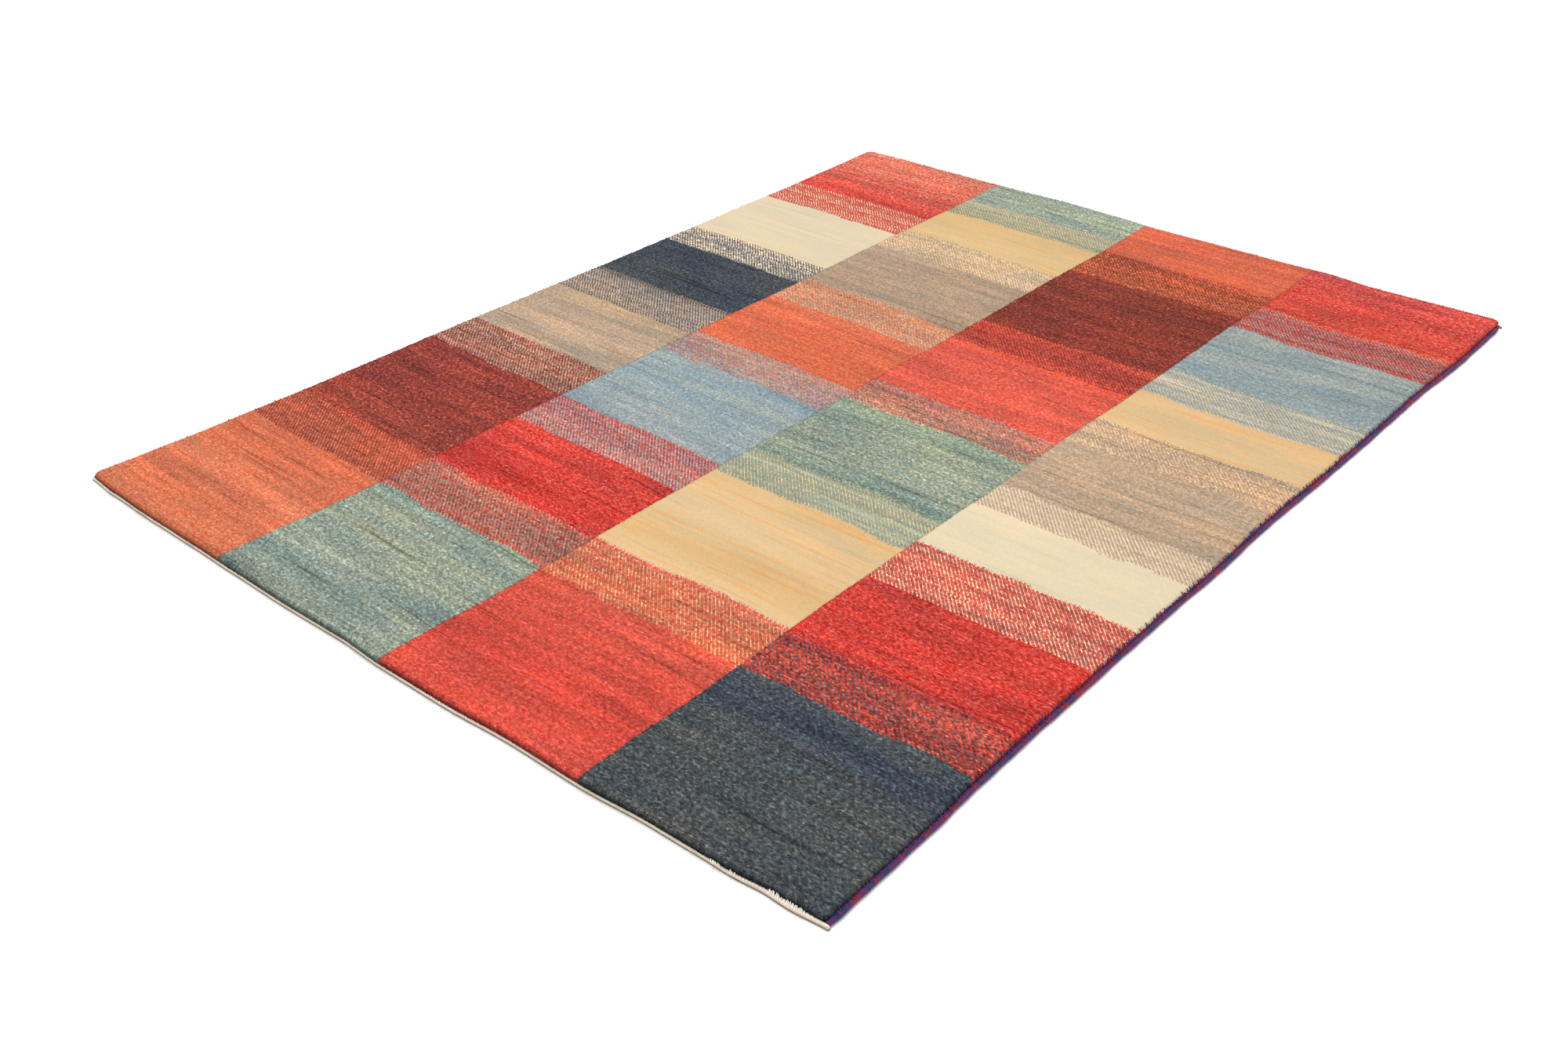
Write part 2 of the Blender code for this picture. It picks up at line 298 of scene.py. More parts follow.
# Where a web's sections stand near a cord and in front of it, past the half width, mm, and
# up to where they stand at even steps
WEB_BEFORE_CORD = (-6.0, -3.0, -1.2)
WEB_AT_CORD = (-0.6, 3.0, 5.8, 7.0)
WEB_EVEN_TO = -7.0

# How many rows of points a web's outer face has, and how deep its threads ripple, mm
WEB_FACE_ROWS = 6
WEB_RIPPLE = 0.10

# The row of the loose red end, and the knot and row of the pale fleck
LOOSE_END_ROW = 100.9
FLECK_AT = (161.8, 321.5)


def ease(table, share):
    """Read a table at each share, easing between its rows with 3t^2 - 2t^3."""
    rows = np.array(table)
    step = np.clip(np.searchsorted(rows[:, 0], share, side="right") - 1, 0, len(rows) - 2)
    low, high = rows[step], rows[step + 1]
    t = np.clip((share - low[..., 0]) / (high[..., 0] - low[..., 0]), 0.0, 1.0)
    return low[..., 1] + (high[..., 1] - low[..., 1]) * t * t * (3.0 - 2.0 * t)


def wander(points):
    """Carry points of a straight rug to the uneven one that came off the loom.

    Each edge moves inwards by its inset, and a point between two edges moves by the mean
    of both, weighted by how near it lies to each.
    """
    points = np.array(points, dtype=float)
    across = np.clip(points[..., 0] / WIDTH + 0.5, 0.0, 1.0)
    along = np.clip(points[..., 1] / LENGTH + 0.5, 0.0, 1.0)
    left = ease(LEFT_INSET, along) * MM
    right = -ease(RIGHT_INSET, along) * MM
    near = ease(NEAR_INSET, across) * MM
    far = -ease(FAR_INSET, across) * MM
    points[..., 0] += left + (right - left) * across
    points[..., 1] += near + (far - near) * along
    return points


def knots_at(points):
    """The pattern's coordinates of points of the straight rug: knots across, rows along."""
    across = (points[..., 0] / CHART_HALF_X + 1.0) * KNOTS / 2
    along = (points[..., 1] / CHART_HALF_Y + 1.0) * ROWS / 2
    return np.stack((across, along), axis=-1)


def x_of_knot(knot):
    """Where a knot lies across the straight rug: the chart's half width times its share."""
    return (np.asarray(knot) / (KNOTS / 2) - 1.0) * CHART_HALF_X


def y_of_row(row):
    """Where a row lies along the straight rug: the chart's half length times its share."""
    return (np.asarray(row) / (ROWS / 2) - 1.0) * CHART_HALF_Y


def grid_quads(rows, columns, closed=False):
    """Quads of a grid of points, as (quad, corner). A closed grid joins its last column."""
    row = np.arange(rows - 1)[:, None]
    column = np.arange(columns if closed else columns - 1)[None, :]
    following = (column + 1) % columns
    corners = (row * columns + column, row * columns + following,
               (row + 1) * columns + following, (row + 1) * columns + column)
    return np.stack(np.broadcast_arrays(*corners), axis=-1).reshape(-1, 4)


def make_piece(name, points, polygons, pattern, recipe, replaced=()):
    """Put points, polygons and the corners' pattern coordinates into a mesh that rides.

    polygons is a list of arrays, each (polygon, corner), and pattern is an array (u, v)
    for the corners of all of them in that order.
    """
    points = np.asarray(points, dtype=np.float32).reshape(-1, 3)
    corners = np.concatenate([np.ravel(group) for group in polygons]).astype(np.int32)
    sizes = np.concatenate([np.full(len(group), np.shape(group)[1]) for group in polygons])
    starts = np.concatenate(([0], np.cumsum(sizes)[:-1])).astype(np.int32)
    mesh = bpy.data.meshes.new(name)
    mesh.vertices.add(len(points))
    mesh.vertices.foreach_set("co", points.ravel())
    mesh.loops.add(len(corners))
    mesh.loops.foreach_set("vertex_index", corners)
    mesh.polygons.add(len(sizes))
    mesh.polygons.foreach_set("loop_start", starts)
    layer = mesh.uv_layers.new(name="pattern")
    layer.data.foreach_set("uv", np.asarray(pattern, dtype=np.float32).ravel())
    mesh.update(calc_edges=True)
    if mesh.validate(verbose=False):
        raise RuntimeError(f"{name} had faces that Blender had to mend")
    mesh.shade_smooth()
    mesh.materials.append(recipe.material)
    piece = bpy.data.objects.new(name, mesh)
    bpy.context.scene.collection.objects.link(piece)
    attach(piece, BODY)
    if replaced:
        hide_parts(*replaced)
    return piece


def corner_pattern(pattern, polygons):
    """Spread coordinates of the points, (point, uv), over the corners of the polygons."""
    corners = np.concatenate([np.ravel(group) for group in polygons]).astype(int)
    return pattern.reshape(-1, 2)[corners]


class Signal:
    """A socket whose value changes over a surface. Operators on it add Math nodes."""

    def __init__(self, recipe, socket):
        self.recipe = recipe
        self.socket = socket

    def maths(self, operation, *terms):
        return self.recipe.node("ShaderNodeMath", {"operation": operation}, dict(enumerate(terms)))

    def __add__(self, other):
        return self.maths("ADD", self, other)

    def __sub__(self, other):
        return self.maths("SUBTRACT", self, other)

    def __rsub__(self, other):
        return self.maths("SUBTRACT", other, self)

    def __mul__(self, other):
        return self.maths("MULTIPLY", self, other)

    def __truediv__(self, other):
        return self.maths("DIVIDE", self, other)

    def __gt__(self, other):
        return self.maths("GREATER_THAN", self, other)

    def floor(self):
        return self.maths("FLOOR", self)

    def size(self):
        """How far it is from 0."""
        return self.maths("ABSOLUTE", self)

    def fraction(self):
        return self.maths("FRACT", self)

    def pingpong(self, length):
        """Up to a length and back down again, over and over."""
        return self.maths("PINGPONG", self, length)

    def ramp(self, low, high):
        """0 below low, 1 above high, and an eased step between them."""
        settings = {"interpolation_type": "SMOOTHSTEP"}
        inputs = {"Value": self, "From Min": low, "From Max": high}
        return self.recipe.node("ShaderNodeMapRange", settings, inputs)

    __radd__ = __add__
    __rmul__ = __mul__


class Recipe:
    """The nodes of one finish, around its Principled shader."""

    def __init__(self, name, **plain):
        self.material = bpy.data.materials.new(name)
        self.material.use_nodes = True
        self.tree = self.material.node_tree
        self.shader = self.tree.nodes["Principled BSDF"]
        for socket, value in plain.items():
            self.shader.inputs[socket.replace("_", " ")].default_value = value

    def node(self, kind, settings=None, inputs=None, output=0):
        """Add a node: its settings first, then its sockets' values or links."""
        made = self.tree.nodes.new(kind)
        for key, value in (settings or {}).items():
            if key == "stops":
                self.fill_ramp(made.color_ramp, *value)
            else:
                setattr(made, key, value)
        for socket, value in (inputs or {}).items():
            self.feed(made.inputs[socket], value)
        return Signal(self, made.outputs[output])

    def fill_ramp(self, ramp, interpolation, stops):
        """Set a colour ramp's stops, each (place from 0 to 1, colour)."""
        ramp.interpolation = interpolation
        while len(ramp.elements) > 1:
            ramp.elements.remove(ramp.elements[-1])
        for index, (place, colour) in enumerate(stops):
            stop = ramp.elements[0] if index == 0 else ramp.elements.new(place)
            stop.position = place
            stop.color = (*colour, 1.0)

    def feed(self, socket, value):
        """Link a signal to a socket, or set a number, vector or colour on it."""
        if isinstance(value, Signal):
            self.tree.links.new(value.socket, socket)
        elif socket.type == "RGBA" and len(value) == 3:
            socket.default_value = (*value, 1.0)
        else:
            socket.default_value = value

    def pattern(self):
        """The piece's own coordinates, as two signals."""
        return self.split(self.node("ShaderNodeUVMap", {"uv_map": "pattern"}))[:2]

    def height(self):
        """How high a point lies above the floor, in metres."""
        return self.split(self.node("ShaderNodeTexCoord", output=3))[2]

    def split(self, vector):
        """The three parts of a vector or a colour, as signals."""
        parts = self.node("ShaderNodeSeparateXYZ", {}, {0: vector}).socket.node.outputs
        return [Signal(self, part) for part in parts]

    def vector(self, x, y, z=0.0):
        return self.node("ShaderNodeCombineXYZ", {}, {0: x, 1: y, 2: z})

    def noise(self, vector, scale=1.0, detail=1.0, rough=0.5):
        inputs = {"Vector": vector, "Scale": scale, "Detail": detail, "Roughness": rough}
        return self.node("ShaderNodeTexNoise", {}, inputs)

    def over(self, u, v, table):
        """A noise of the pattern: changes per knot and per row, seed, detail, roughness."""
        across, along, seed, detail, rough = table
        return self.noise(self.vector(u * across, v * along, seed), detail=detail, rough=rough)

    def dice(self, x, y=0.0, z=0.0):
        """An even random number from 0 to 1 for each whole x, y and z. The last is a seed."""
        return self.node("ShaderNodeTexWhiteNoise", {}, {"Vector": self.vector(x, y, z)})

    def stops(self, place, interpolation, rows):
        return self.node("ShaderNodeValToRGB", {"stops": (interpolation, rows)}, {"Fac": place})

    def mix(self, share, first, second, kind="MIX"):
        settings = {"data_type": "RGBA", "blend_type": kind}
        return self.node("ShaderNodeMix", settings, {0: share, 6: first, 7: second}, 2)

    def scaled(self, colour, factor):
        return self.node("ShaderNodeVectorMath", {"operation": "SCALE"}, {0: colour, 3: factor})

    def bump(self, height, distance, strength=1.0):
        inputs = {"Height": height, "Distance": distance, "Strength": strength}
        return self.node("ShaderNodeBump", {}, inputs)

    def finish(self, colour, normal=None):
        self.feed(self.shader.inputs["Base Color"], colour)
        if normal:
            self.feed(self.shader.inputs["Normal"], normal)


def dye(label, use, red, green, blue):
    """A colour property of one dye, in linear red, green and blue."""
    return bpy.props.FloatVectorProperty(
        name=label, description=use, subtype="COLOR", size=3, min=0.0, max=1.0,
        default=(red, green, blue),
    )


def length_of(label, use, millimetres):
    """A length property, given in millimetres."""
    return bpy.props.FloatProperty(
        name=label, description=use, subtype="DISTANCE", unit="LENGTH", min=0.0, precision=5,
        default=millimetres * MM,
    )


class RugDyes(bpy.types.PropertyGroup):
    """The dyes of the pile, and the yarns and the cotton of its edges."""

    madder: dye("Madder red", "Deep red of the madder root", 0.390, 0.016, 0.012)
    coral: dye("Coral red", "A lighter lot of madder", 0.490, 0.059, 0.033)
    orange: dye("Orange", "Madder over a yellow dye", 0.465, 0.084, 0.043)
    maroon: dye("Maroon", "Madder darkened with iron", 0.155, 0.025, 0.016)
    cream: dye("Cream", "Undyed pale wool", 0.540, 0.450, 0.308)
    straw: dye("Straw yellow", "Yellow of pomegranate rind", 0.515, 0.368, 0.197)
    taupe: dye("Taupe", "Undyed grey-brown wool", 0.312, 0.220, 0.152)
    sage: dye("Sage green", "Indigo over a yellow dye", 0.161, 0.194, 0.159)
    blue: dye("Light blue", "Weak indigo", 0.182, 0.228, 0.244)
    navy: dye("Navy", "Strong indigo", 0.037, 0.041, 0.052)
    rosy: dye("Rosy", "The palest lot of madder, carded into the reds", 0.56, 0.150, 0.118)
    amber: dye("Amber", "Straw yellow with a little madder, carded into it", 0.495, 0.250, 0.085)
    pale_sage: dye("Pale sage", "A weak lot of sage green, carded into it", 0.330, 0.360, 0.240)
    violet: dye("Violet", "Overcast yarn of the long sides", 0.108, 0.032, 0.140)
    deep_blue: dye("Deep blue", "Overcast yarn of the long sides", 0.032, 0.044, 0.140)
    rose: dye("Rose", "Overcast yarn of the long sides", 0.290, 0.022, 0.065)
    cotton: dye("Cotton", "Undyed cotton of the webs", 0.80, 0.66, 0.50)


class RugSizes(bpy.types.PropertyGroup):
    """The sizes of tufts, turns, threads and stitches."""

    pile_step: length_of("Pile step", "Distance between the pile's points", 4.9)
    undulation: length_of("Undulation", "How much the pile rises and falls", 0.35)
    tuft_length: length_of("Tuft length", "Length of a knot's cut end at the rim", 2.2)
    tuft_radius: length_of("Tuft radius", "Half the width of a knot's cut end", 0.85)
    wrap_pitch: length_of("Wrap pitch", "Distance between turns of the overcast yarn", 2.1)
    wrap_depth: length_of("Wrap depth", "How far the yarn's turns part", 0.34)
    web_step: length_of("Web step", "Distance between the web's points", 0.8)
    warp_pitch: length_of("Warp pitch", "Distance between the web's threads", 1.5)
    stitch_radius: length_of("Stitch radius", "Half the width of a cotton stitch", 0.62)


class RugStudio(bpy.types.PropertyGroup):
    """The light and the camera of the photograph."""

    sky: bpy.props.FloatProperty(
        name="Sky", description="Even light from all round", default=0.74, min=0.0)
    key: bpy.props.FloatProperty(
        name="Soft box", description="Power of the large light overhead", subtype="POWER",
        default=140.0, min=0.0)
    heading: bpy.props.FloatProperty(
        name="Heading", description="How far the camera turns left from looking along +Y",
        subtype="ANGLE", unit="ROTATION", default=math.radians(40.356))
    tilt: bpy.props.FloatProperty(
        name="Tilt", description="How far the camera looks down", subtype="ANGLE",
        unit="ROTATION", default=math.radians(31.855))
    roll: bpy.props.FloatProperty(
        name="Roll", description="How far the camera leans", subtype="ANGLE",
        unit="ROTATION", default=math.radians(-0.230))
    place: bpy.props.FloatVectorProperty(
        name="Place", description="Where the camera stands", subtype="TRANSLATION",
        unit="LENGTH", size=3, default=(1.20963, -1.56822, 1.02628))
    lens: bpy.props.FloatProperty(
        name="Lens", description="Focal length for a frame 36 mm wide", default=37.685,
        min=1.0, unit="CAMERA")


# How far knots lean and stray, in knots, and after how many rows the draughtboard may slip
LEAN = 0.75
STRAY = 0.32
ROWS_TO_A_SLIP = 9.0

# How much a row, a knot or a patch of them favours one dye, and how sharp the step is
# between the two
ROW_FAVOUR = 0.30
KNOT_FAVOUR = 0.31
PATCH_FAVOUR = 1.10
DYE_STEP = (0.86, 1.14)

# How far a band's edge and a column's border wander, in rows and knots, and their teeth
BAND_WANDER = 5.0
BAND_TOOTH = 0.9
BORDER_WANDER = 3.0
BORDER_STRAY = 0.6
BORDER_TOOTH = 0.4

# Noises over the pattern: change per knot and per row, seed, detail and roughness
PATCHES = (0.16, 0.5, 8.0, 2.0, 0.5)
STREAKS = (0.012, 0.36, 1.0, 3.0, 0.65)
DYE_LOTS = (0.016, 0.09, 5.0, 2.0, 0.5)
DASHES = (0.55, 1.0, 3.0, 3.0, 0.75)
STRANDS = (0.28, 0.75, 6.0, 2.0, 0.5)
NAP = (1.3, 1.6, 0.0, 2.0, 0.65)

# How much of a band's other dye each knot takes on, where the cut ends mingle
MINGLED = 0.09

# Each dye's carded wool of another dye, its largest share, and how mottled the dye is
WOOL = {
    "madder": ("rosy", 0.50, 1.35), "coral": ("rosy", 0.60, 1.30),
    "orange": ("straw", 0.30, 1.15), "maroon": ("rosy", 0.30, 1.60),
    "cream": ("straw", 0.30, 0.42), "straw": ("amber", 0.80, 0.52),
    "taupe": ("cream", 0.20, 1.14), "sage": ("pale_sage", 0.60, 1.45),
    "blue": ("cream", 0.28, 1.20), "navy": ("sage", 0.26, 1.70),
}

# Colours that multiply the cool and the warm places of a dye lot, and the painted shade in the
# gaps between knots
COOL = (0.91, 1.00, 1.08)
WARM = (1.08, 1.00, 0.92)
GAP_SHADE_TINT = (0.56, 0.45, 0.42)

# How much of the gaps' painted shade shows in a block, and how much more in a band
GAP_SHADE_IN_BLOCK = 0.06
GAP_SHADE_MORE_IN_BAND = 0.62

# A shade is this number to the power of its depth, which is below 0 where it is darker
SHADE_BASE = 7.4

# How much lighter a band is, and how much painted shade darkens the groove between two columns
BAND_LIFT = 0.06
GROOVE_SHADE = 0.20

# Heights between which painted shade darkens the pile towards its sides, and how strong
# that painted shade is all round and, besides, within the last rows of an end
SIDE_SHADE_HEIGHTS = (0.0120, 0.0095)
SIDE_SHADE_ALL_ROUND = 0.14
SIDE_SHADE_AT_ENDS = 0.38
END_ROWS = (5.0, 1.0)


def chart_tracks(recipe, place, column, dyes):
    """A column's dyes, its carded wool and its facts, read at a place from 0 to 1.

    The first track keeps a block's dye up to the end of the band after it, and the second
    takes the next block's dye from where that band starts. The facts are how much carded
    wool there is, the second dye's share of a band's knots, which is 0 in a block, and
    how mottled the dye is.
    """
    first, second, carded, facts = [], [], [], []
    before, before_other = 0.0, None
    for name, first_row, last_row, share in column:
        start, end = first_row / ROWS, last_row / ROWS
        other, amount, mottled = WOOL[name]
        first.append((start, tuple(getattr(dyes, name))))
        second.append((before, tuple(getattr(dyes, name))))
        if before:
            in_band = "rosy" if "rosy" in (other, before_other) else other
            carded.append((before, tuple(getattr(dyes, in_band))))
        carded.append((start, tuple(getattr(dyes, other))))
        facts.append((start, (amount, 0.0, mottled / 2)))
        if last_row < ROWS:
            facts.append((end, (amount * 0.9, share, mottled / 2)))
        before, before_other = end, other
    return [recipe.stops(place, "CONSTANT", rows) for rows in (first, second, carded, facts)]


def wool_colour(recipe, dyes):
    """Colour of the knots from the chart, and the signals that their relief needs.

    A point belongs to the knot whose leaning cell it falls in, after it strays a little.
    In a band a wave over two knots, shifted by one knot in each row, makes a draughtboard,
    and the second dye shows where the wave passes one less its share. Rows, knots and
    patches of them favour one of the dyes a little. Carded wool of another dye shows in
    streaks, or in dashes and strands where the dye is mottled. The dye lots turn from
    cool to warm along the rug, and their tones carry a painted sheen on the far reds.
    Painted shade darkens the gaps between knots and the groove between two columns.
    """
    u, v = recipe.pattern()
    fine = recipe.node("ShaderNodeTexNoise", {}, {
        "Vector": recipe.vector(u, v), "Scale": 0.9, "Detail": 1.0}, 1)
    stray_u, stray_v, _ = recipe.split(fine)
    along = v + (stray_v - 0.5) * (2.0 * STRAY)
    row = along.floor()
    part_v = along - row - 0.5
    across = u + (stray_u - 0.5) * (2.0 * STRAY) + part_v * LEAN
    knot = across.floor()
    part_u = across - knot - 0.5

    slip = recipe.dice((row / ROWS_TO_A_SLIP).floor(), 3.0) > 0.5
    wave = 1.0 - ((across + row + slip - 0.5) / 2.0).fraction().pingpong(0.5) * 2.0
    favour = (recipe.dice(row, 5.0) - 0.5) * ROW_FAVOUR
    chance = (recipe.dice(knot, row, 7.0) - 0.5) * KNOT_FAVOUR
    patch = (recipe.over(u, v, PATCHES) - 0.5) * PATCH_FAVOUR
    leaning = wave + favour + chance + patch
    tooth = ((knot + row) / 2.0).fraction() * 2.0

    slow = recipe.noise(recipe.vector(knot * 0.035, row * 0.004, 2.0))
    place = (row + 0.5 + (slow - 0.5) * BAND_WANDER + tooth * BAND_TOOTH) / float(ROWS)
    sway = (recipe.noise(recipe.vector(row * 0.02, 0.0, 9.0), detail=2.0) - 0.5) * BORDER_WANDER
    edge = u + (stray_u - 0.5) * BORDER_STRAY + sway + recipe.dice(row, 11.0) * BORDER_TOOTH
    painted_groove_shade = None
    for column, tones_and_sheen, border in zip(CHART, LOT_TONES_AND_SHEEN, (0.0, *COLUMN_BORDERS)):
        first, second, carded, facts = chart_tracks(recipe, place, column, dyes)
        pick = (leaning + recipe.split(facts)[1]).ramp(*DYE_STEP)
        dyed = recipe.mix(pick * (1.0 - 2.0 * MINGLED) + MINGLED, first, second)
        # Each lot's tone, with a painted sheen that lightens the reds at the far end
        tone_and_sheen = recipe.stops(place, "LINEAR", [(at / ROWS, shade) for at, shade in tones_and_sheen])
        tracks = (dyed, carded, tone_and_sheen, facts)
        if border:
            past = edge - border
            tracks = [recipe.mix(past > 0.0, old, new) for old, new in zip(chosen, tracks)]
            # Painted shade along the groove at each column's border
            near = past.size().ramp(0.9, 0.1)
            painted_groove_shade = painted_groove_shade + near if painted_groove_shade else near
        chosen = tracks

    dyed, carded, tone_and_sheen, facts = chosen
    amount, share, mottled = recipe.split(facts)
    streak = recipe.over(u, v, STREAKS)
    lot = recipe.over(u, v, DYE_LOTS)
    dash = recipe.over(u, v, DASHES)
    strand = recipe.over(u, v, STRANDS) - 0.5
    threads = dash.ramp(0.50, 0.70) * 0.85 + strand.size().ramp(0.10, 0.01) * 0.55
    cloudy = streak.ramp(0.45, 0.70)
    pale = cloudy + (threads - cloudy) * mottled.ramp(0.15, 0.65)
    wool = recipe.mix(pale * amount, dyed, carded)
    wool = recipe.mix(1.0, wool, tone_and_sheen, "MULTIPLY")
    warmth = recipe.mix((lot - 0.5) * mottled * 4.0 + 0.5, COOL, WARM)
    wool = recipe.mix(1.0, wool, warmth, "MULTIPLY")

    banded = share > 0.01
    # Painted shade in the gaps between knots, little in a block and more in a band
    gap_shade_mask = (part_u * part_u * 1.3 + part_v * part_v * 0.35).ramp(0.10, 0.34)
    shade = recipe.mix(gap_shade_mask * (GAP_SHADE_MORE_IN_BAND * banded + GAP_SHADE_IN_BLOCK), (1.0, 1.0, 1.0), GAP_SHADE_TINT)
    wool = recipe.mix(1.0, wool, shade, "MULTIPLY")
    each = recipe.dice(knot, row, 1.0) - 0.5
    slow_depth = ((streak - 0.5) + (lot - 0.5) * 0.6) * (0.9 * mottled - 0.05)
    fine_depth = (dash * 2.2 - 1.12 + each * 0.5) * mottled * mottled + each * banded * 0.10
    line = streak.ramp(0.38, 0.30) * mottled * mottled * 0.5
    depth = slow_depth + fine_depth - line
    light = depth.maths("POWER", SHADE_BASE, depth)
    lift = BAND_LIFT * banded + 1.0
    wool = recipe.scaled(wool, light * lift * (1.0 - painted_groove_shade * GROOVE_SHADE))
    return wool, dash, part_v


def pile_recipe(dyes):
    """Cut wool pile: soft, matt, with leaning ends, and painted shade down its sides."""
    recipe = Recipe("wool_pile", Roughness=0.95, Specular_IOR_Level=0.05)
    colour, dash, _ = wool_colour(recipe, dyes)
    u, v = recipe.pattern()
    at_end = (v - ROWS / 2).size().ramp(*[ROWS / 2 - rows for rows in END_ROWS])
    # Painted shade: the pile darkens towards its sides, and more within the last rows of an end
    painted_side_shade = recipe.height().ramp(*SIDE_SHADE_HEIGHTS) * (SIDE_SHADE_AT_ENDS * at_end + SIDE_SHADE_ALL_ROUND)
    nap = recipe.over(u, v, NAP)
    relief = nap * 0.8 + dash * 0.6
    recipe.finish(recipe.scaled(colour, 1.0 - painted_side_shade), recipe.bump(relief, 0.9 * MM, 0.9))
    return recipe


def back_recipe(dyes):
    """Knotted back: the same dyes in close ridges, a knot's two loops side by side, with painted
    shade between the ridges.
    """
    recipe = Recipe("knotted_back", Roughness=0.95, Specular_IOR_Level=0.1)
    colour, _, part_v = wool_colour(recipe, dyes)
    ridge = part_v * part_v * -4.0
    # Painted shade between the ridges of the knots' loops
    shaded = recipe.scaled(colour, 0.85 + 0.15 * (ridge + 1.0))
    recipe.finish(shaded, recipe.bump(ridge, 0.5 * MM))
    return recipe


def corner_turn(x_share, y_share, reach_x, reach_y, radius):
    """Round the corner zone of a grid, as offsets from the zone's inner corner.

    The shares run from 0 at the zone's inner corner to 1 at its outer sides. The larger
    of them picks a ring, whose reach and radius it scales. Along the ring a point goes
    the ring's straight stretch and then an eighth of a circle up to the diagonal.
    """
    x_first = x_share >= y_share
    ring = np.maximum(np.maximum(x_share, y_share), 1e-9)
    passed = np.minimum(x_share, y_share) / ring
    main = np.where(x_first, reach_x, reach_y) * ring
    other = np.where(x_first, reach_y, reach_x) * ring
    turn = radius * ring
    straight = other - turn
    gone = passed * (straight + turn * math.pi / 4)
    angle = np.maximum(gone - straight, 0.0) / turn
    outwards = main - turn + turn * np.cos(angle)
    sideways = np.minimum(gone, straight) + turn * np.sin(angle)
    return np.where(x_first, outwards, sideways), np.where(x_first, sideways, outwards)


class Lanes:
    """Grid lines of a slab across and along, with finer ones in the corner zones."""

    def __init__(self, step, corner_steps, extra_y=()):
        inner_x = HALF_WIDTH - CORNER_ROOM
        inner_y = HALF_LENGTH - CORNER_ROOM
        share = np.linspace(0.0, 1.0, corner_steps + 1)[1:]
        self.x = np.linspace(-inner_x, inner_x, 2 * round(inner_x / step) + 1)
        y = np.linspace(-inner_y, inner_y, 2 * round(inner_y / step) + 1)
        self.y = np.sort(np.concatenate((y, np.array(extra_y))))
        self.x_share = np.concatenate((share[::-1], np.zeros(len(self.x)), share))
        self.y_share = np.concatenate((share[::-1], np.zeros(len(self.y)), share))
        self.zone = corner_steps

    def spread(self, side_out, end_out, radius, i, j):
        """Points (x, y) of lanes i and j on a slab that stands out so far at its sides."""
        x = np.pad(self.x, self.zone, mode="edge")[i]
        y = np.pad(self.y, self.zone, mode="edge")[j]
        x_share = self.x_share[i]
        y_share = self.y_share[j]
        reach_x = CORNER_ROOM + side_out
        reach_y = CORNER_ROOM + end_out
        turn_x, turn_y = corner_turn(x_share, y_share, reach_x, reach_y, radius)
        cornered = (x_share > 0) & (y_share > 0)
        add_x = np.where(cornered, turn_x, x_share * reach_x)
        add_y = np.where(cornered, turn_y, y_share * reach_y)
        return x + np.sign(x) * add_x, y + np.sign(y) * add_y

    def rim(self):
        """Lane numbers (i, j) once round the slab, counter-clockwise from its near left."""
        last_i = len(self.x_share) - 1
        last_j = len(self.y_share) - 1
        i = np.arange(last_i)
        j = np.arange(last_j)
        return (
            np.concatenate((i, np.full(last_j, last_i), last_i - i, np.zeros(last_j, int))),
            np.concatenate((np.zeros(last_i, int), j, np.full(last_i, last_j), last_j - j)),
        )


def slab(lanes, rim_rows, bottom_cap):
    """A closed slab: rim loops carried round the lanes, and a grid over its last loop.

    rim_rows go from the open side to the grid's side. The grid lies on top, or below
    where the rows run downwards. The open side is closed by one polygon, hidden inside.
    Returns points of the straight rug and the polygons.
    """
    def level(row, across, along):
        """Points of some lanes at one row of the rim."""
        side_out, end_out, height, radius = row
        x, y = lanes.spread(side_out, end_out, radius, across, along)
        return np.stack((x, y, np.broadcast_to(height, x.shape)), axis=-1).reshape(-1, 3)

    i, j = lanes.rim()
    columns = len(lanes.x_share)
    lines = len(lanes.y_share)
    loops = [level(row, i, j) for row in rim_rows[:-1]]
    plane = level(rim_rows[-1], *np.meshgrid(np.arange(columns), np.arange(lines)))
    points = np.concatenate((*loops, plane))
    count = len(i)
    start = len(loops) * count
    walls = grid_quads(len(rim_rows), count, closed=True)
    on_plane = walls >= start
    walls[on_plane] = start + (j * columns + i)[walls[on_plane] - start]
    cover = grid_quads(lines, columns) + start
    cap = np.arange(count)[None, ::-1]
    polygons = [walls, cover, cap]
    if bottom_cap:
        polygons = [group[:, ::-1] for group in polygons]
    return points, polygons


def shoulder_rows():
    """The pile's rim from where it rises past the cord, as (side, end, height, radius)."""
    cord = CORD_DIAMETER / 2
    rows = []
    for degrees, end_out in PAST_CORD:
        angle = math.radians(degrees)
        side_out = cord + (cord + GAP) * math.cos(angle)
        height = CORD_LIFT + cord + (cord + GAP) * math.sin(angle)
        rows.append((side_out, end_out * MM, height, CORNER_RADIUS))
    for side_out, end_out, drop, wider in PILE_SHOULDER:
        radius = CORNER_RADIUS + wider * MM
        rows.append((side_out * MM, end_out * MM, PILE_TOP - drop * MM, radius))
    return rows


def swell(points, amount):
    """Raise and lower the pile's top in slow waves: sums of sines across and along."""
    x = points[..., 0]
    y = points[..., 1]
    wave = np.sin(x * 9.0 + 1.0) * np.sin(y * 7.0 + 2.0) + 0.6 * np.sin(x * 23.0 + y * 5.0)
    wave += 0.4 * np.sin(y * 31.0 - x * 11.0) + 0.25 * np.sin(x * 61.0) * np.sin(y * 53.0 + 1.0)
    top = np.clip((points[..., 2] - (PILE_TOP - 1.2 * MM)) / (1.2 * MM), 0.0, 1.0)
    points[..., 2] += amount * 0.5 * wave * top
    return points


def build_pile(sizes, dyes):
    """Cut pile of the whole rug, above the knotted back."""
    lanes = Lanes(sizes.pile_step, 6)
    points, polygons = slab(lanes, shoulder_rows(), False)
    pattern = corner_pattern(knots_at(points), polygons)
    points = wander(swell(points, sizes.undulation))
    recipe = pile_recipe(dyes)
    pile = make_piece("pile", points, polygons, pattern, recipe, ["field"])
    return pile, recipe


